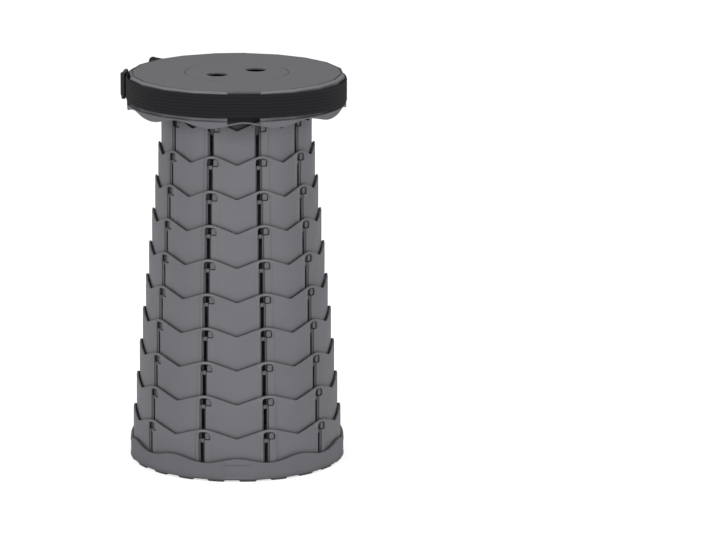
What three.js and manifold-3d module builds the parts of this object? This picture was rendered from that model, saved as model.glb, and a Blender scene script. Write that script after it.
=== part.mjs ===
import * as THREE from "three";
import { mergeVertices } from "three/addons/utils/BufferGeometryUtils.js";
import Module from "manifold-3d";

// A collapsible telescopic stool: a round seat on a neck and ten nested rings, which stand in a shallow
// base. Millimetres, +Z up. The origin is on the floor under the middle of the base. The front faces -Y,
// and an azimuth counts in degrees from the front towards +X. The stool stands fully extended.

// The whole stool
const overall_height = 450;
const body_radius = 123.6;
const ring_count = 10;
const panel_count = 10;
const facet_count = 20;
const fit_gap = 0.3;
const cut_overrun = 5;
const weld_distance = 0.0001;

// Seat cover and its skirt
const plate_thickness = 2.6;
const head_room = 0.6;
const chamfer_drop = 2.4;
const chamfer_width = 1.9;
const rim_wall = 1.9;
const seat_turn = 3.8;
const skirt_height = 6;
const skirt_wave = 3.2;
const closing_gap = 2.4;
const window_width = 37;
const window_count = 4;
const window_setback = 1.1;
const lip_height = 2.4;

// Centre disc and the shelf that carries it
const disc_inset = 22.8;
const disc_thickness = 2.3;
const shelf_width = 5;
const shelf_thickness = 2.2;
const shelf_wall = 2.7;
const finger_hole_radius = 11;
const finger_hole_spacing = 53;
const finger_hole_turn = 123.6;

// Rings
const ring_step = 3.78;
const ring_wall = 2.2;
const ring_clearance = 0.56;
const ring_wave = 10.2;
const ring_turn = 16.2;
const crest_margin = 0.7;
const wave_shares = [1, 1, -0.35, -1, -0.35];
const wave_place_shares = [0, 1, 1.25, 1.5, 1.75];
const round_sides = 40;

// Hooked slots and the pins that hang in them
const slot_width = 7.2;
const slot_floor = 3.6;
const pin_width = 5.6;
const pin_height = 7;
const pin_offset = 6.7;
const pin_play = 0.7;
const pin_corner = 1.6;
const pin_root = 0.8;
const hook_head = 1.5;
const hook_lip = 2.8;
const hook_play = 0.6;
const hook_corner = 2.6;
const rebate_skin = 1.1;
const rebate_play = 0.5;

// Base
const base_flare = 1.4;
const base_floor = 2.2;
const base_rim_height = 24;
const base_wave = 3;
const base_turn = 0;
const base_edge = 1;
const foot_height = 1.9;
const foot_count = 21;
const foot_turn = 5.7;
const foot_width = 19.5;
const foot_depth = 10;
const recess_margin = 1.1;
const recess_depth = 1.2;
const recess_bottom = 4.2;
const recess_top = 20.8;
const lug_pocket = 0.7;
const base_play = 0.6;

// Neck, its collar and the screws
const collar_width = 15.8;
const collar_thickness = 2.4;
const screw_count = 5;
const screw_inset = 9.3;
const boss_radius = 4.2;
const boss_length = 5.9;
const screw_radius = 1.3;
const screw_clearance = 0.6;
const screw_head_radius = 3.4;
const screw_head_height = 2.2;
const screw_bite = 5;
const screw_sides = 8;

// Strap, handle loop and slider
const strap_width = 26.5;
const strap_thickness = 2;
const strap_slack = 0.4;
const strap_edge = 1.8;
const strap_drop_right = 4.2;
const strap_drop_left = 2;
const strap_start_angle = -137;
const strap_end_angle = 193;
const loop_width = 74;
const loop_reach = 54;
const loop_lead = 18;
const loop_droop_angle = 30;
const loop_steps = 24;
const loop_side_shares = [-0.5, -0.53, -0.46, -0.2, 0.2, 0.46, 0.53, 0.5];
const loop_out_shares = [0, 0.3, 0.68, 0.97, 0.97, 0.68, 0.3, 0];
const slider_turn = -97;
const slider_height = 31;
const slider_width = 29;
const slider_thickness = 4.4;
const slider_bar = 4.4;
const slider_corner = 3;
const slider_bridge = 2.8;
const slider_bridge_height = 6.5;

const degree = Math.PI / 180;
const quarter_turn = Math.PI / 2;
const full_circle = 360;

// Sizes that follow from the ones above
const facet_angle = full_circle / facet_count;
const panel_angle = full_circle / panel_count;
const facet_cosine = Math.cos((facet_angle / 2) * degree);
const seat_apothem = body_radius * facet_cosine;
const seat_underside = overall_height - plate_thickness;
const rim_bore = seat_apothem - rim_wall;
const last_ring_radius = rim_bore - ring_clearance;
const base_bore = last_ring_radius + base_play;
const base_radius = body_radius + base_flare;
const ring_bottom = foot_height + base_floor + fit_gap;
const pin_rise = slot_floor + pin_play + pin_height / 2;
const ring_overlap = pin_rise + pin_height / 2 + hook_head + hook_lip;
const stacked_height = ring_bottom + ring_overlap + head_room + plate_thickness;
const stage_travel = (overall_height - stacked_height) / (ring_count + 1);
const closed_height = stacked_height + stage_travel;
const ring_crest = stage_travel + ring_overlap;
const skirt_depth = closed_height - closing_gap - base_rim_height;
const rim_depth = skirt_depth - skirt_height;
const rim_bottom = overall_height - rim_depth;
const neck_radius = last_ring_radius - ring_count * ring_step;
const disc_radius = neck_radius - disc_inset;
const collar_bore = neck_radius - collar_width;
const screw_circle = neck_radius - screw_inset;
const hook_rise = pin_rise + stage_travel;
const hook_end = pin_offset + pin_width / 2 + hook_play;
const hook_middle = (hook_end - slot_width / 2) / 2;
const crest_half_width = (hook_end + slot_width / 2) / 2 + crest_margin;
const collar_top = seat_underside - boss_length - fit_gap;

const wasm = await Module();
wasm.setup();

// Solid of a closed geometry, with its shared vertices merged and its empty faces left out.
function solidOf(geometry) {
  const bare = new THREE.BufferGeometry();
  bare.setAttribute("position", geometry.getAttribute("position"));
  bare.setIndex(geometry.getIndex());
  const merged = mergeVertices(bare, weld_distance);
  const corners = merged.getIndex().array;
  const kept = [];
  for (let i = 0; i < corners.length; i += 3) {
    const [a, b, c] = [corners[i], corners[i + 1], corners[i + 2]];
    if (a !== b && b !== c && c !== a) kept.push(a, b, c);
  }
  return new wasm.Manifold(
    new wasm.Mesh({
      numProp: 3,
      vertProperties: merged.getAttribute("position").array,
      triVerts: new Uint32Array(kept),
    }),
  );
}

// Geometry of a solid, with a flat normal on each face.
function geometryOf(solid) {
  const { vertProperties, triVerts } = solid.getMesh();
  const indexed = new THREE.BufferGeometry();
  indexed.setAttribute("position", new THREE.BufferAttribute(vertProperties, 3));
  indexed.setIndex(new THREE.BufferAttribute(triVerts, 1));
  const geometry = indexed.toNonIndexed();
  geometry.computeVertexNormals();
  return geometry;
}

// Skin over a row of section loops with equally many corners. A joined row closes on itself, and an open
// one gets a cap on each end.
function skinOver(loops, joined) {
  const size = loops[0].length;
  const faces = [];
  const spans = joined ? loops.length : loops.length - 1;
  for (let i = 0; i < spans; i++) {
    const here = i * size;
    const next = ((i + 1) % loops.length) * size;
    for (let j = 0; j < size; j++) {
      const k = (j + 1) % size;
      faces.push(here + j, next + j, next + k);
      faces.push(here + j, next + k, here + k);
    }
  }
  const end = (loops.length - 1) * size;
  for (let j = 1; j < size - 1 && !joined; j++) {
    faces.push(0, j, j + 1);
    faces.push(end, end + j + 1, end + j);
  }
  const geometry = new THREE.BufferGeometry();
  geometry.setFromPoints(loops.flat());
  geometry.setIndex(faces);
  return geometry;
}

// Point at a radius, azimuth and height.
function polar(radius, azimuth, height) {
  return new THREE.Vector3(
    radius * Math.sin(azimuth * degree),
    -radius * Math.cos(azimuth * degree),
    height,
  );
}

// Azimuths of evenly spaced columns round the full circle.
function columnsFrom(start, count) {
  return Array.from({ length: count }, (_, i) => start + (i * full_circle) / count);
}

// Radius of a polygon with the stool's flats, given its corner radius and the azimuth of a flat's middle.
function facetedRadius(corner_radius, turn, azimuth) {
  const turns = Math.round((azimuth - turn) / facet_angle);
  const from_middle = azimuth - turn - turns * facet_angle;
  return (corner_radius * facet_cosine) / Math.cos(from_middle * degree);
}

// Outline drawn as [across, up] corners, extruded outwards between two distances from the axis and turned
// to an azimuth.
function radialPrism(outline, from, to, azimuth) {
  const shape = new THREE.Shape(outline.map(([across, up]) => new THREE.Vector2(across, up)));
  const geometry = new THREE.ExtrudeGeometry(shape, { depth: to - from, bevelEnabled: false });
  geometry.rotateX(quarter_turn);
  geometry.translate(0, -from, 0);
  geometry.rotateZ(azimuth * degree);
  return solidOf(geometry);
}

// Rectangle as an outline for radialPrism.
function rectangle(left, right, bottom, top) {
  return [
    [left, bottom],
    [right, bottom],
    [right, top],
    [left, top],
  ];
}

// Upright cylinder with its middle at a radius and azimuth.
function uprightCylinder(radius, bottom, top, sides, circle, azimuth) {
  const geometry = new THREE.CylinderGeometry(radius, radius, top - bottom, sides);
  geometry.rotateX(quarter_turn);
  const middle = polar(circle, azimuth, (bottom + top) / 2);
  geometry.translate(middle.x, middle.y, middle.z);
  return solidOf(geometry);
}

function joinAll(solids) {
  return solids.reduce((sum, solid) => sum.add(solid));
}

function cutAll(solid, cutters) {
  return solid.subtract(joinAll(cutters));
}

// Height of the seat's lower edge: it is high over the middle of every second flat.
function skirtEdge(azimuth) {
  const wave = Math.cos((azimuth - seat_turn) * panel_count * degree);
  return overall_height - skirt_depth + skirt_wave * wave;
}

// Height of the base's upper edge, which mates with the seat's lower edge when the stool is closed.
function baseEdge(azimuth) {
  return base_rim_height + base_wave * Math.cos((azimuth - base_turn) * panel_count * degree);
}

function windowAzimuths() {
  return columnsFrom(seat_turn, window_count);
}

function screwAzimuths() {
  return columnsFrom(0, screw_count);
}

// Top plate with a chamfered edge, a rim, a shelf round the centre opening and the screw bosses.
function seatCover() {
  const opening_radius = disc_radius + fit_gap;
  const loops = columnsFrom(seat_turn, 2 * facet_count).map((azimuth) => {
    const outer = facetedRadius(body_radius, seat_turn, azimuth);
    const top = facetedRadius(body_radius - chamfer_width, seat_turn, azimuth);
    return [
      polar(outer, azimuth, rim_bottom),
      polar(outer, azimuth, overall_height - chamfer_drop),
      polar(top, azimuth, overall_height),
      polar(opening_radius, azimuth, overall_height),
      polar(opening_radius, azimuth, overall_height - disc_thickness - fit_gap),
      polar(opening_radius - shelf_width, azimuth, overall_height - disc_thickness - fit_gap),
      polar(opening_radius - shelf_width, azimuth, seat_underside - shelf_thickness),
      polar(opening_radius + shelf_wall, azimuth, seat_underside - shelf_thickness),
      polar(opening_radius + shelf_wall, azimuth, seat_underside),
      polar(rim_bore, azimuth, seat_underside),
      polar(rim_bore, azimuth, rim_bottom),
    ];
  });
  const half = window_width / 2;
  const through = rectangle(-half, half, rim_bottom - cut_overrun, seat_underside);
  const notch = rectangle(-half, half, rim_bottom, overall_height + cut_overrun);
  const outside = seat_apothem + cut_overrun;
  const windows = windowAzimuths().flatMap((azimuth) => [
    radialPrism(through, rim_bore - cut_overrun, outside, azimuth),
    radialPrism(notch, seat_apothem - window_setback, outside, azimuth),
  ]);
  const boss_end = seat_underside - boss_length;
  const bosses = screwAzimuths().map((azimuth) =>
    uprightCylinder(boss_radius, boss_end, seat_underside + head_room, screw_sides, screw_circle, azimuth),
  );
  const pilot_radius = screw_radius + fit_gap;
  const pilots = screwAzimuths().map((azimuth) =>
    uprightCylinder(pilot_radius, boss_end - cut_overrun, seat_underside, screw_sides, screw_circle, azimuth),
  );
  return cutAll(joinAll([solidOf(skinOver(loops, true)), ...bosses]), [...windows, ...pilots]);
}

// Lower part of the seat's rim. Over each window a thin lip that follows the wave is left.
function seatSkirt() {
  const loops = columnsFrom(seat_turn, 2 * facet_count).map((azimuth) => {
    const outer = facetedRadius(body_radius, seat_turn, azimuth);
    return [
      polar(rim_bore, azimuth, skirtEdge(azimuth)),
      polar(outer, azimuth, skirtEdge(azimuth)),
      polar(outer, azimuth, rim_bottom - fit_gap),
      polar(rim_bore, azimuth, rim_bottom - fit_gap),
    ];
  });
  const half = window_width / 2;
  const windows = windowAzimuths().map((azimuth) => {
    const side = skirtEdge(azimuth + facet_angle / 2) + lip_height;
    const middle = skirtEdge(azimuth) + lip_height;
    const outline = [
      [-half, side],
      [0, middle],
      [half, side],
      [half, overall_height],
      [-half, overall_height],
    ];
    return radialPrism(outline, rim_bore - cut_overrun, seat_apothem + cut_overrun, azimuth);
  });
  return cutAll(solidOf(skinOver(loops, true)), windows);
}

// Flat disc with two finger holes.
function centreDisc() {
  const shape = new THREE.Shape();
  shape.absarc(0, 0, disc_radius, 0, 2 * Math.PI, false);
  for (const side of [-1, 1]) {
    const middle = polar((side * finger_hole_spacing) / 2, finger_hole_turn, 0);
    const hole = new THREE.Path();
    hole.absarc(middle.x, middle.y, finger_hole_radius, 0, 2 * Math.PI, true);
    shape.holes.push(hole);
  }
  const options = { depth: disc_thickness, bevelEnabled: false, curveSegments: facet_count };
  const geometry = new THREE.ExtrudeGeometry(shape, options);
  geometry.translate(0, 0, overall_height - disc_thickness);
  return solidOf(geometry);
}

// Outer radius of a ring, counted from 1 at the top. Number 0 is the neck.
function ringRadius(number) {
  return last_ring_radius - (ring_count - number) * ring_step;
}

function ringBottom(number) {
  return ring_bottom + (ring_count - number) * stage_travel;
}

// Half the angle of the flat that a ring has over each hook.
function crestHalfAngle(radius) {
  return Math.asin(crest_half_width / radius) / degree;
}

// Distance from the axis to the outer face of those flats.
function ringFlat(number) {
  const radius = ringRadius(number);
  return radius * Math.cos(crestHalfAngle(radius) * degree);
}

function slotAzimuths() {
  return columnsFrom(ring_turn, panel_count);
}

// Azimuth from a slot's middle to the pins that hang in the hooks of a ring of this radius.
function pinTurn(hook_radius) {
  return Math.atan2(pin_offset, hook_radius) / degree;
}

// Slot with a hook: the slot runs up the ring, and at its top it opens to the right into a pocket that
// holds the pin of the next ring in.
function hookOutline(bottom) {
  const left = -slot_width / 2;
  const right = slot_width / 2;
  const end = hook_end;
  const top = bottom + hook_rise + pin_height / 2 + hook_head;
  const pocket = bottom + hook_rise - pin_height / 2 - fit_gap;
  return [
    [left, bottom + slot_floor],
    [right, bottom + slot_floor],
    [right, pocket],
    [end, pocket],
    [end, top - hook_corner],
    [end - hook_corner, top],
    [left + hook_corner, top],
    [left, top - hook_corner],
  ];
}

// Pin with cut corners, seen from outside.
function pinOutline(bottom) {
  const half_width = pin_width / 2;
  const half_height = pin_height / 2;
  const middle = bottom + pin_rise;
  return [
    [-half_width, middle - half_height + pin_corner],
    [-half_width + pin_corner, middle - half_height],
    [half_width - pin_corner, middle - half_height],
    [half_width, middle - half_height + pin_corner],
    [half_width, middle + half_height - pin_corner],
    [-half_width + pin_corner, middle + half_height],
  ];
}

// The pins round a ring, long enough to reach a given distance from the axis.
function ringPins(number, reach) {
  const root = ringFlat(number) - pin_root;
  const turn = pinTurn(ringRadius(number + 1));
  const outline = pinOutline(ringBottom(number));
  return slotAzimuths().map((azimuth) => radialPrism(outline, root, reach, azimuth + turn));
}

// How far the pins of a ring reach into the next ring out, or into the base.
function pinReach(number) {
  if (number === ring_count) return base_bore + lug_pocket - fit_gap;
  return ringFlat(number + 1) - rebate_skin - fit_gap;
}

// Tube with a flat over each hook, and with sides between the flats that follow the wave of its upper edge.
function ringTube(radius, bottom, heightAt) {
  const inner = radius - ring_wall;
  const half_crest = crestHalfAngle(radius);
  const first = ring_turn + Math.atan2(hook_middle, radius) / degree - half_crest;
  const loops = columnsFrom(first, panel_count).flatMap((azimuth) =>
    wave_place_shares.map((place, i) => {
      const to_next = place > 1 ? (place - 1) * (panel_angle - 2 * half_crest) : 0;
      const column = azimuth + 2 * half_crest * Math.min(1, place) + to_next;
      const top = bottom + heightAt(i);
      return [
        polar(inner, column, bottom),
        polar(radius, column, bottom),
        polar(radius, column, top),
        polar(inner, column, top),
      ];
    }),
  );
  return solidOf(skinOver(loops, true));
}

// One telescoping ring: a tube with a wavy upper edge, ten hooked slots, a rebate inside beside each slot,
// down which the next ring's pin runs, and ten pins near its lower edge.
function ring(number) {
  const radius = ringRadius(number);
  const bottom = ringBottom(number);
  const middle_height = ring_crest - ring_wave / 2;
  const tube = ringTube(radius, bottom, (i) => middle_height + (ring_wave / 2) * wave_shares[i]);
  const flat = ringFlat(number);
  const inside = radius - ring_wall - cut_overrun;
  const hook = hookOutline(bottom);
  const half_rebate = pin_width / 2 + rebate_play;
  const rebate_floor = bottom + pin_rise - pin_height / 2 - rebate_play;
  const rebate = rectangle(-half_rebate, half_rebate, rebate_floor, bottom + hook_rise);
  const cutters = slotAzimuths().flatMap((azimuth) => [
    radialPrism(hook, inside, radius + cut_overrun, azimuth),
    radialPrism(rebate, inside, flat - rebate_skin, azimuth + pinTurn(radius)),
  ]);
  return joinAll([cutAll(tube, cutters), ...ringPins(number, pinReach(number))]);
}

// Neck under the seat: a plain tube with pins and an inward collar that the screws hold.
function seatNeck() {
  const radius = ringRadius(0);
  const bottom = ringBottom(0);
  const height = seat_underside - fit_gap - bottom;
  const tube = ringTube(radius, bottom, () => height);
  const inside = radius - ring_wall / 2;
  const loops = columnsFrom(0, round_sides).map((azimuth) => [
    polar(collar_bore, azimuth, collar_top - collar_thickness),
    polar(inside, azimuth, collar_top - collar_thickness),
    polar(inside, azimuth, collar_top),
    polar(collar_bore, azimuth, collar_top),
  ]);
  const collar = solidOf(skinOver(loops, true));
  const hole_radius = screw_radius + screw_clearance;
  const holes = screwAzimuths().map((azimuth) =>
    uprightCylinder(
      hole_radius,
      collar_top - collar_thickness - cut_overrun,
      collar_top + cut_overrun,
      screw_sides,
      screw_circle,
      azimuth,
    ),
  );
  return cutAll(joinAll([tube, collar, ...ringPins(0, pinReach(0))]), holes);
}

// Screw from below through the neck's collar into a boss under the seat.
function seatScrew(azimuth) {
  const head_top = collar_top - collar_thickness - fit_gap;
  const head_bottom = head_top - screw_head_height;
  const tip = collar_top + fit_gap + screw_bite;
  const shank_bottom = head_top - screw_head_height / 2;
  return joinAll([
    uprightCylinder(screw_head_radius, head_bottom, head_top, screw_sides, screw_circle, azimuth),
    uprightCylinder(screw_radius, shank_bottom, tip, screw_sides, screw_circle, azimuth),
  ]);
}

// Shallow dish with a wavy rim, a flat recess on four sides, feet under its edge, and a pocket inside for
// each of the last ring's lugs.
function baseCover() {
  const floor_top = foot_height + base_floor;
  const loops = columnsFrom(base_turn, 2 * facet_count).map((azimuth) => {
    const outer = facetedRadius(base_radius, base_turn, azimuth);
    return [
      polar(0, azimuth, foot_height),
      polar(outer - base_edge, azimuth, foot_height),
      polar(outer, azimuth, foot_height + base_edge),
      polar(outer, azimuth, baseEdge(azimuth)),
      polar(base_bore, azimuth, baseEdge(azimuth)),
      polar(base_bore, azimuth, floor_top),
      polar(0, azimuth, floor_top),
    ];
  });
  const base_apothem = base_radius * facet_cosine;
  const foot_end = base_apothem - base_edge - fit_gap;
  const foot = rectangle(-foot_width / 2, foot_width / 2, 0, foot_height + base_edge);
  const feet = columnsFrom(foot_turn, foot_count).map((azimuth) =>
    radialPrism(foot, foot_end - foot_depth, foot_end, azimuth),
  );
  const half = base_apothem * Math.tan((facet_angle / 2) * degree) - recess_margin;
  const panel = rectangle(-half, half, recess_bottom, recess_top);
  const recesses = columnsFrom(base_turn, window_count).map((azimuth) =>
    radialPrism(panel, base_apothem - recess_depth, base_apothem + cut_overrun, azimuth),
  );
  const lug_middle = ring_bottom + pin_rise;
  const half_pocket = pin_width / 2 + fit_gap;
  const half_rise = pin_height / 2 + fit_gap;
  const pocket = rectangle(-half_pocket, half_pocket, lug_middle - half_rise, lug_middle + half_rise);
  const lug_turn = pinTurn(ringRadius(ring_count + 1));
  const pockets = slotAzimuths().map((azimuth) =>
    radialPrism(pocket, base_bore - cut_overrun, base_bore + lug_pocket, azimuth + lug_turn),
  );
  const dish = solidOf(skinOver(loops, true));
  return cutAll(joinAll([dish, ...feet]), [...recesses, ...pockets]);
}

// How far the strap hangs below its highest line, by azimuth: it lies lower on the stool's sides.
function strapDrop(azimuth) {
  if (azimuth > 0) return strap_drop_right * Math.sin((Math.PI * azimuth) / strap_end_angle);
  return strap_drop_left * Math.sin((Math.PI * azimuth) / strap_start_angle);
}

function strapTop(azimuth) {
  return overall_height - strap_edge - strapDrop(azimuth);
}

// Webbing round the seat's corners, from one root of the handle loop to the other. It spans the flats.
function strapBand() {
  const half_facet = facet_angle / 2;
  const first = Math.ceil((strap_start_angle - seat_turn) / half_facet);
  const last = Math.floor((strap_end_angle - seat_turn) / half_facet);
  const steps = Array.from({ length: last - first + 1 }, (_, i) => seat_turn + (first + i) * half_facet);
  const inner = body_radius + strap_slack;
  const outer = inner + strap_thickness;
  const loops = [strap_start_angle, ...steps, strap_end_angle].map((azimuth) => {
    const top = strapTop(azimuth);
    return [
      polar(inner, azimuth, top - strap_width),
      polar(outer, azimuth, top - strap_width),
      polar(outer, azimuth, top),
      polar(inner, azimuth, top),
    ];
  });
  return solidOf(skinOver(loops, false));
}

// Loop of the same webbing that stands off the rim between the strap's ends. Its far side droops.
function strapHandle() {
  const gap_turn = strap_start_angle - (strap_end_angle - full_circle);
  const middle_turn = strap_start_angle - gap_turn / 2;
  const outwards = polar(1, middle_turn, 0);
  const sideways = new THREE.Vector3(-outwards.y, outwards.x, 0);
  const upwards = new THREE.Vector3(0, 0, 1);
  const root_radius = body_radius + strap_slack + strap_thickness / 2;
  const chord = 2 * root_radius * Math.sin((gap_turn / 2) * degree);
  const root_width = chord - 2 * strap_thickness - 2 * fit_gap;
  const root_reach = root_radius * Math.cos((gap_turn / 2) * degree);
  const knots = loop_side_shares.map((share, i) => {
    const at_root = i === 0 || i === loop_side_shares.length - 1;
    const across = share * (at_root ? root_width : loop_width);
    return new THREE.Vector3(-across, loop_out_shares[i] * loop_reach, 0);
  });
  const curve = new THREE.CatmullRomCurve3(knots);
  const mid_height = strapTop(strap_start_angle) - strap_width / 2;
  const loops = [];
  for (let i = 0; i <= loop_steps; i++) {
    const flat = curve.getPointAt(i / loop_steps);
    const heading = curve.getTangentAt(i / loop_steps);
    const drooping_share = Math.max(0, flat.y - loop_lead) / (loop_reach - loop_lead);
    const droop = loop_droop_angle * drooping_share * degree;
    const out = outwards.clone().multiplyScalar(Math.cos(droop)).addScaledVector(upwards, -Math.sin(droop));
    const wide = upwards.clone().multiplyScalar(Math.cos(droop)).addScaledVector(outwards, Math.sin(droop));
    const middle = outwards
      .clone()
      .multiplyScalar(root_reach)
      .addScaledVector(sideways, flat.x)
      .addScaledVector(out, flat.y);
    middle.z += mid_height;
    const along = sideways.clone().multiplyScalar(heading.x).addScaledVector(out, heading.y).normalize();
    const thick = new THREE.Vector3().crossVectors(wide, along).normalize();
    const corner = (side, face) =>
      middle
        .clone()
        .addScaledVector(wide, (side * strap_width) / 2)
        .addScaledVector(thick, (face * strap_thickness) / 2);
    loops.push([corner(-1, 1), corner(-1, -1), corner(1, -1), corner(1, 1)]);
  }
  return solidOf(skinOver(loops, false));
}

// Three-bar slider that lies flat on the strap, with a raised middle bar for the webbing to turn round.
function strapSlider() {
  const face = body_radius + strap_slack + strap_thickness + fit_gap;
  const middle = strapTop(slider_turn) - strap_width / 2;
  const top = middle + slider_height / 2;
  const bottom = middle - slider_height / 2;
  const half = slider_width / 2;
  const outline = [
    [-half + slider_corner, bottom],
    [half - slider_corner, bottom],
    [half, bottom + slider_corner],
    [half, top - slider_corner],
    [half - slider_corner, top],
    [-half + slider_corner, top],
    [-half, top - slider_corner],
    [-half, bottom + slider_corner],
  ];
  const plate = radialPrism(outline, face, face + slider_thickness, slider_turn);
  const inner = slider_bar / 2;
  const outer = half - slider_bar;
  const windows = [
    rectangle(-outer, -inner, bottom + slider_bar, top - slider_bar),
    rectangle(inner, outer, bottom + slider_bar, top - slider_bar),
  ].map((hole) => {
    return radialPrism(hole, face - cut_overrun, face + slider_thickness + cut_overrun, slider_turn);
  });
  const bridge_bottom = bottom + slider_bar / 2;
  const bridge_top = top - slider_bar / 2;
  const bridge = radialPrism(
    rectangle(-slider_bridge_height / 2, slider_bridge_height / 2, bridge_bottom, bridge_top),
    face + slider_thickness / 2,
    face + slider_thickness + slider_bridge,
    slider_turn,
  );
  return joinAll([cutAll(plate, windows), bridge]);
}

const grey_plastic = { color: 0x727178, roughness: 0.55, metalness: 0 };
const base_plastic = { color: 0x6c6b71, roughness: 0.58, metalness: 0 };
const black_webbing = { color: 0x242426, roughness: 0.9, metalness: 0 };
const black_plastic = { color: 0x1b1b1d, roughness: 0.45, metalness: 0 };
const screw_steel = { color: 0x9c9da0, roughness: 0.35, metalness: 0.9 };

const stool = new THREE.Group();

function place(name, solid, finish) {
  const mesh = new THREE.Mesh(geometryOf(solid), new THREE.MeshStandardMaterial(finish));
  mesh.name = name;
  stool.add(mesh);
}

place("seat_cover", seatCover(), grey_plastic);
place("seat_skirt", seatSkirt(), grey_plastic);
place("centre_disc", centreDisc(), grey_plastic);
place("seat_neck", seatNeck(), grey_plastic);
screwAzimuths().forEach((azimuth, i) => {
  place("seat_screw_" + (i + 1), seatScrew(azimuth), screw_steel);
});
for (let number = 1; number <= ring_count; number++) {
  place("ring_" + String(number).padStart(2, "0"), ring(number), grey_plastic);
}
place("base_cover", baseCover(), base_plastic);
place("strap_band", strapBand(), black_webbing);
place("strap_handle", strapHandle(), black_webbing);
place("strap_slider", strapSlider(), black_plastic);

export default stool;
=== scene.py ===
import math

import bpy
from mathutils import Matrix, Vector
from mathutils.geometry import delaunay_2d_cdt


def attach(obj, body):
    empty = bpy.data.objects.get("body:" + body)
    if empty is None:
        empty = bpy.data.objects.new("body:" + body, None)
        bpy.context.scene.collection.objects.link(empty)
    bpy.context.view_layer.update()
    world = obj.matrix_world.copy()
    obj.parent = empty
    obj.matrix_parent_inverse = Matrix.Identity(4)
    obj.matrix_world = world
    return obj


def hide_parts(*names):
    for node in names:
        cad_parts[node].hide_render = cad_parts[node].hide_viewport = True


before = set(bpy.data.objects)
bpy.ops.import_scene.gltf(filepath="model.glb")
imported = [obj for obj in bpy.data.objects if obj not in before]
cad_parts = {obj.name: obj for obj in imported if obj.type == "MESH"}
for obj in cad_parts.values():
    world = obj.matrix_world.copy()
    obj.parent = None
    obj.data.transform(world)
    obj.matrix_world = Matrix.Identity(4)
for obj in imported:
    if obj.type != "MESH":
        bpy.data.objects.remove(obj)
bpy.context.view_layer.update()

# Lengths are in millimetres and angles in degrees until a mesh is made. An azimuth is counted
# from the front (-Y) towards the right (+X). Materials, lamps and the camera are in metres.
MM = 0.001
HEIGHT = 450.0

# The twenty flats of seat and base
FACETS = 20
FACET = 18.0
COS_HALF = math.cos(math.radians(FACET / 2))
CORNER_FILLET = 9.0
BASE_FILLET = 60.0
FACET_OFFSETS = (-9, -8.8, -8.55, -8.34, -6.5, -3.2, 0, 3.2, 6.5, 8.34, 8.55, 8.8)
BASE_OFFSETS = (-9, -8.1, -7.2, -6.3, -5.5, -4.65, -2.3, 0, 2.3, 4.65, 5.5, 6.3, 7.2, 8.1)

# Rings: each has ten panels, with a slot, a hook and a pin in each
RINGS = 10
PANELS = 10
PANEL = 36
RING_TURN = 16.2
RING_WALL = 2.2
RING_SKIN = 0.12
RING_BEVEL = 0.42
RING_COLUMNS = 24
STEP = 3.78
TRAVEL = 38.8
CLOSING = RINGS * TRAVEL
LAST_RADIUS = 119.618
RING_BOTTOM = 4.4

# The waves of a ring's upper edge
CREST = 54.8
CREST_SHIFT = 3.25
WAVE = 10.2
WAVE_SOFTNESS = 0.2
WAVE_POINT = 0.985

# A slot and the hook at its top, and the raised field round both
SLOT_FLOOR = 4.4
SLOT_HALF = 3.6
HOOK_LOW = TRAVEL + 4.0
HOOK_TOP = TRAVEL + 12.8
HOOK_END = 10.1
FIELD_LEFT, FIELD_RIGHT = -7.3, 12.6
FIELD_TOP = HOOK_TOP + 1.1
FIELD_CORNER = 6.5
FIELD_RISE = 0.42
# The same field at the top of its sloping edge
CREASE_LEFT, CREASE_RIGHT = -6.95, 12.1
CREASE_TOP = HOOK_TOP + 0.75
CREASE_CORNER = 6.1
# Sections of the two lips along a slot: sideways, then depth. Each has a groove along the wall.
LIPS = (
    [(3.75, 1.14), (3.25, 1.14), (3.25, 2.3), (2.0, 2.3), (2.0, 1.8), (3.0, 0.5), (3.12, 0.5),
     (3.35, 1.0), (3.75, 1.0)],
    [(-4.2, 1.1), (-3.35, 1.0), (-3.12, 0.5), (-3.0, 0.5), (-2.0, 1.8), (-2.0, 2.3), (-4.2, 2.3)],
)
SILL = [(-3.4, -0.95), (3.4, -0.95), (3.4, 0.1), (-3.4, 0.1)]
SILL_LOW = 0.3

# Pins, and the thin channel in the next ring that they slide down
PIN_OFFSET = 6.7
PIN_LEFT, PIN_RIGHT = -2.8, 2.95
PIN_LOW, PIN_HIGH = 4.2, 12.1
PIN_CORNERS = [1.6, 1.6, 2.8, 2.6]
PIN_CHAMFER = 0.55
PIN_ROOT = 0.5
PIN_CLEARANCE = 0.25
NECK_PIN_CLEARANCE = 1.5
CHANNEL_WALL = 1.15
CHANNEL_LEFT, CHANNEL_RIGHT = 3.3, 9.95
CHANNEL_LOW = 3.85
CHANNEL_TOP = HOOK_LOW + 0.8

# Neck
NECK_TOP = 447.1
NECK_WALL = 2.0
FLANGE_TOP, FLANGE_BOTTOM = 441.6, 438.8
FLANGE_BORE = 66.0
NECK_STEPS = 180

# Seat
BODY = 123.6 * COS_HALF
SEAT_TURN = 3.8
RIM_BORE = 120.178
RIM_BOTTOM = 420.4
UNDERSIDE = 447.4
WINDOWS = 4
WINDOW_HALF = 8.62
WINDOW_SETBACK = 1.1
GROOVE_FLOOR = 449.0
DISC_RADIUS = 59.0
DISC_HOLE = 59.3
LEDGE_BORE = 54.3
LEDGE_OUTSIDE = 62.0
LEDGE_BOTTOM = 445.2
SCREWS = 5
SCREW_CIRCLE = 72.5
BOSS_RADIUS = 4.2
BOSS_END = 441.5
PILOT_RADIUS = 1.65
PILOT_TOP = 446.6
FINGER_RADIUS = 11.8
FINGER_PLACE = 26.5
FINGER_TURN = 123.6

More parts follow.
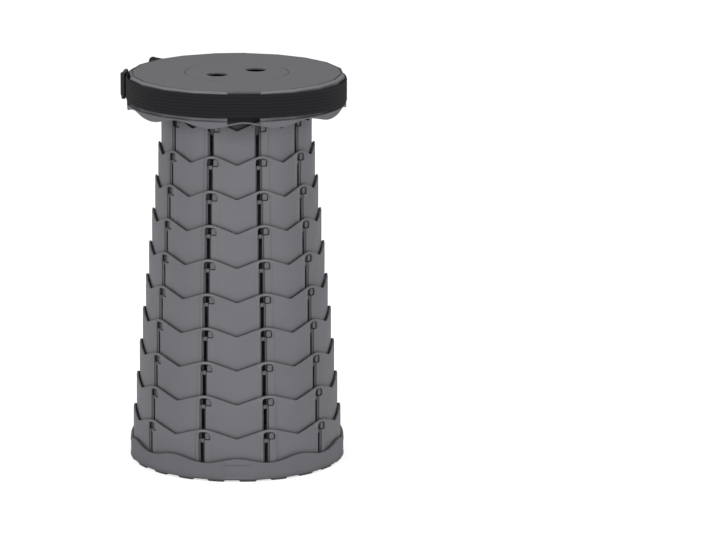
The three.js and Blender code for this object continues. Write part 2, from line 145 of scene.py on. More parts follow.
# Skirt, whose lip laps over the base's edge in the closed stool
SKIRT_LEVEL = 411.4
SKIRT_WAVE = 3.2
SKIRT_FLARE = 2.5
SKIRT_LIP = 0.5
SKIRT_CLEARANCE = 0.4
THICK_BAR = 5.4
THIN_BAR = 1.7

# Base
BASE_APOTHEM = 125.0 * COS_HALF
BASE_TOP = 24
BASE_WAVE = 3
BASE_BORE = 120.218
BASE_FLOOR = 4.1
FEET = 21
FOOT_TURN = 5.7
FOOT_HEIGHT = 1.9
FOOT_HALF = 4.9
RECESSES = 4
RECESS_HALF = 8.7
RECESS_DEPTH = 1.15

# Strap
STRAP_START, STRAP_END = -137.0, 193.0
STRAP_WIDTH = 26.5
STRAP_RADIUS = 124.0
STRAP_STEPS = 132
STRAP_DROP = 1.8
STRAP_SAG_RIGHT, STRAP_SAG_LEFT = 4.2, 2
STRAP_EDGE = 0.45
RIBS = 7
RIB_STEPS = 6
RIB_FLOOR, RIB_HEIGHT = 1.5, 0.5
HANDLE_ROOT = 125.0
HANDLE_GAP = 4.6
HANDLE_WIDTH = 66
HANDLE_REACH = 54
HANDLE_STEPS = 60
# The handle's loop, as shares of its width and of its reach
HANDLE_SHARES = ((-0.5, 0), (-0.53, 0.3), (-0.46, 0.68), (-0.2, 0.97), (0.2, 0.97), (0.46, 0.68),
                 (0.53, 0.3), (0.5, 0))
DROOP = 25
DROOP_START = 20
SECOND_ROOT_DROP = 3

# Slider
SLIDER_TURN = -97
SLIDER_FACE = 126.3
SLIDER_THICKNESS = 4.4
SLIDER_HALF_WIDTH, SLIDER_HALF_HEIGHT = 14.5, 15.5
SLIDER_HOLES = ((-10.1, -2.2), (2.2, 10.1))
SLIDER_HOLE_HALF = 11.1
BAR_HALF = 3.25
BAR_RISE = 2.8
# Heights along the middle bar, each with the share to which its section shrinks
BAR_ENDS = ((-13.3, 0.75), (-12.9, 0.93), (-12.0, 1), (0, 1), (12.0, 1), (12.9, 0.93), (13.3, 0.75))


def turned(radius, azimuth, height):
    a = math.radians(azimuth)
    return Vector((radius * math.sin(a), -radius * math.cos(a), height))


def outwards(azimuth):
    return turned(1, azimuth, 0)


def sideways(azimuth):
    return turned(1, azimuth + 90, 0)


# ---------------------------------------------------------------- materials
def linear(rgb):
    """Scene-linear colour of an sRGB colour from 0 to 255."""
    return [((c / 255 + 0.055) / 1.055) ** 2.4 if c > 10 else c / 255 / 12.92 for c in rgb] + [1]


def toned(colour, factor):
    return [min(1, c * factor) for c in colour[:3]] + [1]


def grey(value):
    return [value, value, value, 1]


WHITE = grey(1)


class Nodes:
    """A new material and short ways to add nodes to it."""

    def __init__(self, name):
        self.material = bpy.data.materials.new(name)
        self.material.use_nodes = True
        self.tree = self.material.node_tree
        self.shader = self.tree.nodes["Principled BSDF"]
        self.place = self.add("ShaderNodeTexCoord").outputs["Object"]

    def add(self, kind, **values):
        node = self.tree.nodes.new(kind)
        for key, value in values.items():
            setattr(node, key, value)
        return node

    def link(self, a, b):
        self.tree.links.new(a, b)

    def fill(self, socket, value):
        """Sets a socket to a number or colour, or links it to another socket."""
        if isinstance(value, (int, float, list)):
            socket.default_value = value
        else:
            self.link(value, socket)

    def set(self, **values):
        for key, value in values.items():
            self.shader.inputs[key.replace("_", " ")].default_value = value

    def noise(self, scale, detail=3, roughness=0.5, stretch=None):
        node = self.add("ShaderNodeTexNoise")
        node.inputs["Scale"].default_value = scale
        node.inputs["Detail"].default_value = detail
        node.inputs["Roughness"].default_value = roughness
        source = self.place
        if stretch:
            mapping = self.add("ShaderNodeMapping")
            mapping.inputs["Scale"].default_value = stretch
            self.link(source, mapping.inputs["Vector"])
            source = mapping.outputs["Vector"]
        self.link(source, node.inputs["Vector"])
        return node.outputs["Fac"]

    def ramp(self, source, stops):
        node = self.add("ShaderNodeValToRGB")
        while len(node.color_ramp.elements) < len(stops):
            node.color_ramp.elements.new(0.5)
        for element, (at, colour) in zip(node.color_ramp.elements, stops):
            element.position = at
            element.color = colour
        self.link(source, node.inputs["Fac"])
        return node.outputs["Color"]

    def spread(self, source, low, high, from_low=0.3, from_high=0.7):
        """Maps a value's range to another range."""
        node = self.add("ShaderNodeMapRange")
        sockets = ("From Min", "From Max", "To Min", "To Max")
        for key, value in zip(sockets, (from_low, from_high, low, high)):
            node.inputs[key].default_value = value
        self.link(source, node.inputs["Value"])
        return node.outputs["Result"]

    def mix(self, factor, a, b, kind="MIX"):
        node = self.add("ShaderNodeMix", data_type="RGBA", blend_type=kind)
        for socket, value in ((node.inputs[0], factor), (node.inputs[6], a), (node.inputs[7], b)):
            self.fill(socket, value)
        return node.outputs[2]

    def math(self, kind, a, b=0.0):
        node = self.add("ShaderNodeMath", operation=kind)
        for socket, value in zip(node.inputs, (a, b)):
            self.fill(socket, value)
        return node.outputs[0]

    def parts(self, vector):
        """The three numbers of a vector."""
        node = self.add("ShaderNodeSeparateXYZ")
        self.link(vector, node.inputs[0])
        return node.outputs

    def bump(self, height, distance, strength=1.0, under=None):
        node = self.add("ShaderNodeBump")
        node.inputs["Strength"].default_value = strength
        node.inputs["Distance"].default_value = distance
        self.link(height, node.inputs["Height"])
        if under:
            self.link(under, node.inputs["Normal"])
        self.link(node.outputs["Normal"], self.shader.inputs["Normal"])
        return node.outputs["Normal"]


def plastic(name, rgb, rough, low=0.95, high=1.04, hollow_shade_tone=0.2, slant_highlight_tone=1.0, half_shade_tone=0.62,
            waves=0.35, shaded_heights=None):
    """Moulded plastic. low and high bound its mottling. The hollow and half shade tones are painted
    shade: ambient occlusion darkens the colour in hollows and between parts. The slant tone is a
    painted highlight that lightens faces slanting upwards. waves is how uneven it is, and between
    the two heights, in metres, painted shade takes it dark, darker upwards."""
    n = Nodes(name)
    base = linear(rgb)
    mottle = n.noise(14, 4, 0.55)
    flow = n.noise(9, 3, 0.5, (1, 1, 4))
    tint = n.ramp(mottle, [(0.3, toned(base, low)), (0.5, base), (0.72, toned(base, high))])
    streak = n.ramp(flow, [(0.35, grey(1 - waves / 10)), (0.65, WHITE)])
    colour = n.mix(1.0, tint, streak, "MULTIPLY")
    # Painted highlight: faces that slant upwards, such as the seat's chamfer, are made lighter.
    if slant_highlight_tone != 1.0:
        up = n.parts(n.add("ShaderNodeNewGeometry").outputs["Normal"])[2]
        upward_highlight = n.ramp(up, [(0.3, WHITE), (0.45, grey(slant_highlight_tone)), (0.85, grey(slant_highlight_tone)),
                            (0.95, WHITE)])
        colour = n.mix(1.0, colour, upward_highlight, "MULTIPLY")
    # Painted shade: the colour goes dark upwards between the two heights, as under the seat.
    if shaded_heights:
        level = n.spread(n.parts(n.place)[2], 0, 1, *shaded_heights)
        shadow = n.ramp(level, [(0.0, WHITE), (1.0, grey(0.03))])
        colour = n.mix(1.0, colour, shadow, "MULTIPLY")
    # Painted shade: ambient occlusion darkens the colour in hollows, recesses and between parts.
    nook = n.add("ShaderNodeAmbientOcclusion", samples=8)
    nook.inputs["Distance"].default_value = 0.012
    shade = n.ramp(nook.outputs["AO"], [(0.15, grey(hollow_shade_tone)), (0.55, grey(half_shade_tone)),
                                        (0.88, WHITE)])
    n.link(n.mix(1.0, colour, shade, "MULTIPLY"), n.shader.inputs["Base Color"])
    gloss = n.spread(n.noise(55, 3), rough - waves / 6, rough + waves / 5)
    n.link(gloss, n.shader.inputs["Roughness"])
    wide = n.bump(n.noise(30, 2), 0.0006, waves)
    n.bump(n.noise(2300, 2), 0.00004, 0.6, wide)
    n.set(IOR=1.49)
    return n.material


def webbing(name, rgb):
    """Ribbed webbing. Its UV map is in millimetres: along the strap, then across it."""
    n = Nodes(name)
    base = linear(rgb)
    parts = n.parts(n.add("ShaderNodeUVMap").outputs["UV"])
    along, across = parts[0], parts[1]
    weft = n.math("SINE", n.math("MULTIPLY", along, 2 * math.pi / 1.15))
    warp = n.math("SINE", n.math("MULTIPLY", across, 2 * math.pi / 1.5))
    weave = n.math("MULTIPLY", weft, warp)
    fuzz = n.noise(900, 3)
    tone = n.ramp(n.spread(weave, 0.0, 1.0, -1, 1), [(0.0, toned(base, 0.65)),
                                                     (1.0, toned(base, 1.45))])
    # Painted shade: the colour is darkened in the grooves between the ribs.
    rib_turn = math.pi * RIBS / (STRAP_WIDTH - 2 * STRAP_EDGE)
    ridge = n.math("ABSOLUTE", n.math("COSINE", n.math("MULTIPLY", across, rib_turn)))
    tone = n.mix(1.0, tone, n.ramp(ridge, [(0.0, grey(0.45)), (0.75, WHITE)]), "MULTIPLY")
    fluff = n.ramp(fuzz, [(0.3, toned(base, 0.7)), (0.7, toned(base, 1.6))])
    n.link(n.mix(0.35, tone, fluff), n.shader.inputs["Base Color"])
    n.link(n.spread(fuzz, 0.72, 0.95), n.shader.inputs["Roughness"])
    n.bump(n.math("ADD", n.math("MULTIPLY", weave, 0.6), fuzz), 0.00022, 0.8)
    n.set(Sheen_Weight=0.04, Sheen_Roughness=0.5, Specular_IOR_Level=0.25)
    return n.material


def steel(name, rgb):
    n = Nodes(name)
    base = linear(rgb)
    grain = n.noise(700, 2)
    tint = n.ramp(grain, [(0.3, toned(base, 0.8)), (0.7, base)])
    n.link(tint, n.shader.inputs["Base Color"])
    n.link(n.spread(grain, 0.28, 0.45), n.shader.inputs["Roughness"])
    n.bump(grain, 0.00003, 0.5)
    n.set(Metallic=1.0)
    return n.material


GREY = plastic("grey_moulded_plastic", (117, 116, 121), 0.46)
# Painted highlight on the seat's slanting chamfer, through the slant tone.
GREY_TOP = plastic("grey_seat_plastic", (101, 100, 105), 0.44, 0.99, 1.01, slant_highlight_tone=1.5,
                   waves=0.05)
# Darker colour for the slot lips: painted shade inside the slots.
SLOT_LIP_PAINTED_SHADE = plastic("slot_lip_plastic_painted_shade", (105, 104, 108), 0.5, hollow_shade_tone=0.4, half_shade_tone=0.85)
GREY_SILL = plastic("sill_grey_plastic", (112, 111, 115), 0.5, hollow_shade_tone=0.75, half_shade_tone=0.9)
# The neck is darkened, and near black towards its top: painted shade under the seat.
NECK_PAINTED_SHADE = plastic("neck_plastic_painted_shade", (84, 84, 87), 0.6, shaded_heights=(0.4035, 0.4095))
GREY_SKIRT = plastic("grey_skirt_plastic", (108, 107, 112), 0.46)
BASE = plastic("base_moulded_plastic", (111, 110, 115), 0.5)
CLOTH = webbing("black_ribbed_webbing", (30, 29, 32))
BLACK = plastic("black_buckle_plastic", (12, 12, 14), 0.4, 0.8, 1.2)
STEEL = steel("screw_steel_finish", (170, 171, 174))


# ---------------------------------------------------------------- mesh tools
class Part:
    """A piece under way: points in millimetres, faces, and normals or UVs where it has them."""

    def __init__(self, name, material, replaced, body, slot):
        self.name, self.material = name, material
        self.replaced, self.body, self.slot = replaced, body, slot
        self.points, self.faces, self.normals, self.uvs = [], [], [], []

    def add(self, points, faces, normals=None, uvs=None):
        start = len(self.points)
        self.points += [tuple(p) for p in points]
        self.faces += [[i + start for i in face] for face in faces]
        self.normals += normals or []
        self.uvs += uvs or []

    def welded(self):
        """The points and faces with equal points joined and flattened faces left out."""
        kept, lookup, index, faces = [], {}, [], []
        for p in self.points:
            key = (round(p[0], 3), round(p[1], 3), round(p[2], 3))
            if key not in lookup:
                lookup[key] = len(kept)
                kept.append(p)
            index.append(lookup[key])
        for face in self.faces:
            ring = []
            for i in face:
                if not ring or index[i] != ring[-1]:
                    ring.append(index[i])
            if len(ring) > 1 and ring[0] == ring[-1]:
                ring.pop()
            if len(set(ring)) > 2 and len(set(ring)) == len(ring):
                faces.append(ring)
        return kept, faces

    def make(self, sharp=None):
        """Makes the object. Edges over the angle sharp stay sharp; without it, normals are used."""
        weld = sharp is not None and not self.uvs
        points, faces = self.welded() if weld else (self.points, self.faces)
        mesh = bpy.data.meshes.new(self.name)
        mesh.from_pydata([tuple(c * MM for c in p) for p in points], [], faces)
        mesh.shade_smooth()
        if self.uvs:
            layer = mesh.uv_layers.new(name="weave")
            for loop in mesh.loops:
                layer.data[loop.index].uv = self.uvs[loop.vertex_index]
        if sharp is None:
            mesh.normals_split_custom_set_from_vertices(
                [Vector(v).normalized() for v in self.normals])
        else:
            mesh.set_sharp_from_angle(angle=math.radians(sharp))
        mesh.materials.append(self.material)
        made = bpy.data.objects.new(self.name, mesh)
        bpy.context.scene.collection.objects.link(made)
        if sharp is not None:
            made.modifiers.new("weighted", "WEIGHTED_NORMAL").keep_sharp = True
        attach(made, self.body)
        if self.replaced:
            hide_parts(self.replaced)


def loft(columns, joined):
    """Points and faces of columns of section points, each column closed on itself."""
    size = len(columns[0])
    faces = []
    for i in range(len(columns) if joined else len(columns) - 1):
        k = (i + 1) % len(columns)
        for j in range(size):
            m = (j + 1) % size
            faces.append([i * size + j, k * size + j, k * size + m, i * size + m])
    points = [p for column in columns for p in column]
    if not joined:
        faces.append(list(range(size)))
        faces.append(list(range(len(points) - 1, len(points) - 1 - size, -1)))
    return points, faces


def rounded(corners, radii, steps=6):
    """Outline with its corners rounded, as a list of points."""
    outline = []
    for i, corner in enumerate(corners):
        p = Vector(corner)
        a = (Vector(corners[i - 1]) - p).normalized()
        b = (Vector(corners[(i + 1) % len(corners)]) - p).normalized()
        half = a.angle(b) / 2
        middle = p + (a + b).normalized() * radii[i] / math.sin(half)
        start = p + a * radii[i] / math.tan(half) - middle
        end = p + b * radii[i] / math.tan(half) - middle
        sweep = start.angle_signed(end)
        for k in range(steps + 1):
            turn = -sweep * k / steps
            x, y = start
            outline.append(middle + Vector((x * math.cos(turn) - y * math.sin(turn),
                                            x * math.sin(turn) + y * math.cos(turn))))
    return outline


def rectangle(left, right, low, high, radii, steps):
    return rounded([(left, low), (right, low), (right, high), (left, high)], radii, steps)


def divided(outline, longest):
    """The outline with points added, so that no side is longer than this."""
    out = []
    for i, p in enumerate(outline):
        q = outline[(i + 1) % len(outline)]
        count = max(1, math.ceil((q - p).length / longest))
        out += [p.lerp(q, k / count) for k in range(count)]
    return out


def vertex_normals(outline):
    """Normals to the right of a closed outline's heading, longer at its corners."""
    out = []
    for i, p in enumerate(outline):
        a = (p - outline[i - 1]).normalized()
        b = (outline[(i + 1) % len(outline)] - p).normalized()
        n = Vector((a.y + b.y, -a.x - b.x))
        n = n.normalized() if n.length > 1e-6 else Vector((a.y, -a.x))
        out.append(n / max(0.5, n.dot(Vector((a.y, -a.x)))))
    return out


def ring_of(middle, radius, count):
    return [Vector((middle[0] + radius * math.cos(2 * math.pi * k / count),
                    middle[1] + radius * math.sin(2 * math.pi * k / count))) for k in range(count)]


def sheet(outline, holes, place, thick, bevel, fill=(), lines=(), open_at=None, under=None):
    """Points, faces and normals of a plate with holes and rounded edges.

    place(s, t, depth) gives a point, and the normals come from it. fill and lines are points and
    lines that the faces keep to; a whole number in a line is a point of the outline. The plate has
    no side wall where s is plus or minus open_at. under(s, t) gives a thickness that varies."""
    under = under or (lambda s, t: thick)
    true, inset, faces = [], [], []
    for side, loop in enumerate([outline] + list(holes)):
        normals = vertex_normals(loop)
        faces.append(list(range(len(true), len(true) + len(loop))))
        for p, n in zip(loop, normals):
            into = -n if side == 0 else n
            if open_at is not None and side == 0 and abs(abs(p.x) - open_at) < 1e-4:
                into = Vector((0, 1 if into.y > 0 else -1))
            true.append(p)
            inset.append(p + into * bevel)
    edge_count = len(true)
    coords = list(inset)
    edges = []
    for line in lines:
        last = None
        for p in line:
            here = p
            if not isinstance(p, int):
                here = len(coords)
                coords.append(Vector(p))
            if last is not None:
                edges.append((last, here))
            last = here
    coords += [Vector(p) for p in fill]
    verts, _, tris, sources, _, owners = delaunay_2d_cdt(coords, edges, faces, 1, 1e-5)
    tris = [t for t, own in zip(tris, owners) if not any(f > 0 for f in own)]
    partner = []
    for found in sources:
        found = [i for i in found if i < edge_count]
        partner.append(true[found[0]] if found else None)
    seen = set()
    for t in tris:
        for k in range(3):
            seen.add((t[k], t[(k + 1) % 3]))
    points, normals, out_faces, index = [], [], [], {}

    def flat_point(v, depth, side):
        """A point of the front or the back, with its normal."""
        step = 0.05
        du = place(v.x + step, v.y, depth) - place(v.x - step, v.y, depth)
        dv = place(v.x, v.y + step, depth) - place(v.x, v.y - step, depth)
        return place(v.x, v.y, depth), du.cross(dv).normalized() * side

    def edge_point(v, edge, depth):
        """A point of the side wall, with its normal."""
        point = place(edge.x, edge.y, depth)
        way = edge - v
        normal = place(edge.x + way.x, edge.y + way.y, depth) - point
        return point, normal if normal.length >= 1e-6 else Vector((0, 0, 1))

    def vertex(i, layer):
        """The number of a point: layer 0 is the front, 1 and 2 the side wall, 3 the back."""
        key = (i, layer)
        if key not in index:
            v = verts[i]
            tail = under(v.x, v.y)
            if layer in (0, 3):
                point, normal = flat_point(v, *((0, 1) if layer == 0 else (tail, -1)))
            else:
                point, normal = edge_point(v, partner[i], bevel if layer == 1 else tail - bevel)
            index[key] = len(points)
            points.append(point)
            normals.append(normal.normalized())
        return index[key]

    for a, b, c in tris:
        out_faces.append([vertex(a, 0), vertex(b, 0), vertex(c, 0)])
        out_faces.append([vertex(c, 3), vertex(b, 3), vertex(a, 3)])
    for a, b in seen:
        p, q = verts[a], verts[b]
        is_open = (open_at is not None and abs(abs(p.x) - open_at) < 1e-4
                   and abs(p.x - q.x) < 1e-4)
        if (b, a) in seen or is_open:
            continue
        for j in range(3):
            out_faces.append([vertex(b, j), vertex(a, j), vertex(a, j + 1), vertex(b, j + 1)])
    return points, out_faces, normals


def boss(outline, azimuth, inner, outer, chamfer):
    """A peg along a radius. Its outline is drawn as seen from outside, round the azimuth."""
    u, t, z = outwards(azimuth), sideways(azimuth), Vector((0, 0, 1))
    normals = vertex_normals(outline)
    middle = sum(outline, Vector((0, 0))) / len(outline)
    # Each row of points: its reach, its inset, its share of the outline, and how far it faces out
    rows = [(inner, 0, 1, 0), (outer - chamfer, 0, 1, 0), (outer - 0.1, 0.7 * chamfer, 1, 0.8),
            (outer, chamfer, 1, 1), (outer, chamfer, 0.72, 1), (outer - 0.45, chamfer, 0.5, 1),
            (outer - 0.5, chamfer, 0.3, 1)]
    points, directions, faces = [], [], []
    for reach, inset, share, facing in rows:
        for p, n in zip(outline, normals):
            q = middle + (p - n * inset - middle) * share
            points.append(u * reach + t * q.x + z * q.y)
            directions.append(u * facing + (t * n.x + z * n.y) * (1 - facing))
    size = len(outline)
    for row in range(len(rows) - 1):
        for i in range(size):
            k = (i + 1) % size
            faces.append([row * size + i, row * size + k, (row + 1) * size + k,
                          (row + 1) * size + i])
    faces.append(list(range(len(points) - size, len(points))))
    return points, faces, directions


def bar(section, low, high, place):
    """An upright bar with a (sideways, depth) section, with flat sides, placed like a sheet."""
    points, faces, directions = [], [], []
    for i, a in enumerate(section):
        b = section[(i + 1) % len(section)]
        corners = [place(x, level, depth)
                   for (x, depth), level in ((a, low), (b, low), (b, high), (a, high))]
        normal = (corners[1] - corners[0]).cross(corners[3] - corners[0]).normalized()
        faces.append([len(points) + k for k in range(4)])
        points += corners
        directions += [normal] * 4
    for level, order, way in ((low, -1, -1), (high, 1, 1)):
        faces.append([len(points) + k for k in range(len(section))][::order])
        points += [place(x, level, depth) for x, depth in section]
        directions += [Vector((0, 0, way))] * len(section)
    return points, faces, directions


# ---------------------------------------------------------------- rings
def ring_radius(number):
    return LAST_RADIUS - (RINGS - number) * STEP


def ring_floor(number):
    return RING_BOTTOM + (RINGS - number) * TRAVEL


def wave(turn_from_crest):
    """Height of a ring's upper edge: a rounded crest and a pointed low."""
    t = abs((turn_from_crest + PANEL / 2) % PANEL - PANEL / 2) / (PANEL / 2)
    fall = math.hypot(min(t, WAVE_POINT), WAVE_SOFTNESS) - WAVE_SOFTNESS
    return CREST - WAVE * fall / (math.hypot(1, WAVE_SOFTNESS) - WAVE_SOFTNESS)


def box_distance(s, z, left, right, low, high, radius):
    """Distance from a point to a rounded box, less than zero inside it."""
    x = abs(s - (left + right) / 2) - (right - left) / 2 + radius
    y = abs(z - (low + high) / 2) - (high - low) / 2 + radius
    return math.hypot(max(x, 0), max(y, 0)) + min(max(x, y), 0) - radius


def field(s, z):
    """1 inside the slightly raised field round a slot, and 0 outside it."""
    ramp = 0.35 if s < 3 else 0.5
    inside = -box_distance(s, z, FIELD_LEFT, FIELD_RIGHT, -40, FIELD_TOP, FIELD_CORNER)
    return min(1, max(0, inside / ramp))


def pins(part, number, reach):
    """Adds the ten pins low on a ring or on the neck."""
    bottom = ring_floor(number)
    turn = math.degrees(math.atan2(PIN_OFFSET, ring_radius(number + 1)))
    outline = rectangle(PIN_LEFT, PIN_RIGHT, bottom + PIN_LOW, bottom + PIN_HIGH, PIN_CORNERS, 5)
    for k in range(PANELS):
        azimuth = RING_TURN + PANEL * k + turn
        part.add(*boss(outline, azimuth, ring_radius(number) - PIN_ROOT, reach, PIN_CHAMFER))


def add_round(part, points, faces, normals):
    """Adds ten copies of what is drawn round azimuth 0, one at each slot."""
    for k in range(PANELS):
        spin = Matrix.Rotation(math.radians(RING_TURN + PANEL * k), 3, "Z")
        part.add([spin @ p for p in points], faces, [spin @ n for n in normals])


def add_panels(part, points, faces, normals):
    """Adds ten panels that share the points along their side edges."""
    lookup = {}
    for k in range(PANELS):
        a = math.radians(RING_TURN + PANEL * k)
        cos, sin = math.cos(a), math.sin(a)
        here = []
        for p, n in zip(points, normals):
            q = Vector((p.x * cos - p.y * sin, p.x * sin + p.y * cos, p.z))
            m = Vector((n.x * cos - n.y * sin, n.x * sin + n.y * cos, n.z))
            key = (round(q.x, 2), round(q.y, 2), round(q.z, 2), round(m.x, 1), round(m.y, 1))
            edge = abs(abs(math.degrees(math.atan2(p.x, -p.y))) - PANEL / 2) < 0.01
            if edge and key in lookup:
                here.append(lookup[key])
                continue
            part.points.append(tuple(q))
            part.normals.append(m)
            here.append(len(part.points) - 1)
            if edge:
                lookup[key] = here[-1]
        part.faces += [[here[i] for i in face] for face in faces]


def ring(number):
    """One ring, drawn as a panel round the azimuth 0: s is sideways, z is up from its bottom."""
    radius = ring_radius(number)
    outer = radius - RING_SKIN
    half = math.radians(PANEL / 2) * outer
    bottom = ring_floor(number)
    crest = math.degrees(math.atan2(CREST_SHIFT, radius))

    def place(s, z, depth):
        raised = FIELD_RISE * field(s, z) if depth < 0.01 else 0
        return turned(outer - depth + raised, math.degrees(s / outer), bottom + z)

    def top(s):
        return wave(math.degrees(s / outer) - crest)

    def under(s, z):
        in_channel = CHANNEL_LEFT < s < CHANNEL_RIGHT and CHANNEL_LOW < z < CHANNEL_TOP
        return CHANNEL_WALL if in_channel else RING_WALL - RING_SKIN

    def is_solid(s, z):
        """Whether a point is clear of the upper edge, the slot, the hook and the channel's foot."""
        slot = box_distance(s, z, -SLOT_HALF, SLOT_HALF, SLOT_FLOOR, HOOK_TOP, 0)
        hook = box_distance(s, z, -SLOT_HALF, HOOK_END, HOOK_LOW, HOOK_TOP, 0)
        return z < top(s) - 1.2 and min(slot, hook) > 1.2 and not (z < 5 and 3 < s < 11)

    needed = [-half, FIELD_LEFT, CREASE_LEFT, CREASE_RIGHT, FIELD_RIGHT, half]
    even = [-half + 2 * half * k / RING_COLUMNS for k in range(RING_COLUMNS + 1)]
    inner = [s for s in even[1:-1] if min(abs(s - spot) for spot in needed) > 0.5]
    spots = sorted(needed + inner)
    outline = [Vector((s, 0)) for s in spots] + [Vector((s, top(s))) for s in reversed(spots)]
    hook = divided(rounded([(-SLOT_HALF, SLOT_FLOOR), (SLOT_HALF, SLOT_FLOOR),
                            (SLOT_HALF, HOOK_LOW), (HOOK_END, HOOK_LOW), (HOOK_END, HOOK_TOP),
                            (-SLOT_HALF, HOOK_TOP)], [0.8, 0.8, 0.8, 1.6, 4.4, 3.4], 5), 6)
    fill = [(s, z) for s in even for z in range(4, 50, 5) if is_solid(s, z)]
    # The channel's foot and its right side, then the field's outline and crease
    channel_end = HOOK_LOW - 0.9
    lines = [[(4.2, 4.0), (9.85, 4.0), (9.85, channel_end)],
             [(4.2, 3.7), (10.1, 3.7), (10.1, channel_end)]]
    for left, right, high, corner in ((FIELD_LEFT, FIELD_RIGHT, FIELD_TOP, FIELD_CORNER),
                                      (CREASE_LEFT, CREASE_RIGHT, CREASE_TOP, CREASE_CORNER)):
        bend = rectangle(left, right, 20, high, [0.1, 0.1, corner, corner], 8)
        lines.append([outline.index(Vector((right, 0)))] + [tuple(p) for p in bend if p.y > 40]
                     + [outline.index(Vector((left, 0)))])

    body = "base" if number == RINGS else f"stage_{number:02d}"
    lips = Part(f"ring_{number:02d}_slot_lips", SLOT_LIP_PAINTED_SHADE, None, body, "grey_plastic")
    for section in LIPS:
        add_round(lips, *bar(section, SLOT_FLOOR - 0.2, HOOK_LOW + 0.1, place))
    lips.make()
    if number < RINGS:
        sill = Part(f"ring_{number:02d}_sills", GREY_SILL, None, body, "grey_plastic")
        add_round(sill, *bar(SILL, SILL_LOW, SLOT_FLOOR - 0.2, place))
        sill.make()
    shell = Part(f"ring_{number:02d}_shell", GREY, f"ring_{number:02d}", body, "grey_plastic")
    add_panels(shell, *sheet(outline, [hook], place, RING_WALL, RING_BEVEL, fill, lines, half,
                             under))
    if number == RINGS:
        reach = BASE_BORE + 0.3
    else:
        reach = ring_radius(number + 1) - RING_SKIN - CHANNEL_WALL - PIN_CLEARANCE
    pins(shell, number, reach)
    shell.make()


for ring_number in range(1, RINGS + 1):
    ring(ring_number)


# ---------------------------------------------------------------- neck
def neck():
    tube = Part("neck_tube", NECK_PAINTED_SHADE, "seat_neck", "seat", "grey_plastic")
    radius, bottom = ring_radius(0) - RING_SKIN, ring_floor(0)
    inner = radius - NECK_WALL
    profile = [(radius - 0.35, bottom), (radius, bottom + 0.35), (radius, NECK_TOP - 0.2),
               (radius - 0.2, NECK_TOP), (inner, NECK_TOP), (inner, FLANGE_TOP),
               (FLANGE_BORE + 0.4, FLANGE_TOP), (FLANGE_BORE, FLANGE_TOP - 0.4),
               (FLANGE_BORE, FLANGE_BOTTOM + 0.4), (FLANGE_BORE + 0.4, FLANGE_BOTTOM),
               (inner, FLANGE_BOTTOM), (inner, bottom)]
    azimuths = [360 / NECK_STEPS * k for k in range(NECK_STEPS)]
    tube.add(*loft([[turned(r, a, z) for r, z in profile] for a in azimuths], True))
    tube.make(35)
    knobs = Part("neck_pins", GREY, None, "seat", "grey_plastic")
    pins(knobs, 0, ring_radius(1) - NECK_PIN_CLEARANCE)
    knobs.make()


neck()


# ---------------------------------------------------------------- seat
def flat_radius(apothem, turn, azimuth, fillet=CORNER_FILLET):
    """Distance to a twenty-sided outline with rounded corners."""
    off = (azimuth - turn + FACET / 2) % FACET - FACET / 2
    from_corner = FACET / 2 - abs(off)
    reach = (apothem - fillet) / COS_HALF
    fillet_start = math.atan2(reach * math.sin(math.radians(FACET / 2)), apothem)
    if from_corner >= FACET / 2 - math.degrees(fillet_start):
        return apothem / math.cos(math.radians(off))
    across = reach * math.sin(math.radians(from_corner))
    return reach * math.cos(math.radians(from_corner)) + math.sqrt(fillet ** 2 - across ** 2)


def facet_azimuths(turn, offsets):
    return [turn + FACET * k + off for k in range(FACETS) for off in offsets]


def window_columns():
    """Azimuths round the seat, each with whether it is in a window; a window's sides come twice."""
    quarter = 360 // WINDOWS

    def from_middle(azimuth):
        return (azimuth - SEAT_TURN + quarter / 2) % quarter - quarter / 2

    rows = [(a, abs(from_middle(a)) < WINDOW_HALF)
            for a in facet_azimuths(SEAT_TURN, FACET_OFFSETS)]
    for k in range(WINDOWS):
        for side in (-1, 1):
            a = SEAT_TURN + quarter * k + side * WINDOW_HALF
            rows += [(a, False), (a, True)]
    return sorted(rows, key=lambda row: (round(row[0], 4), row[1] != (from_middle(row[0]) > 0)))


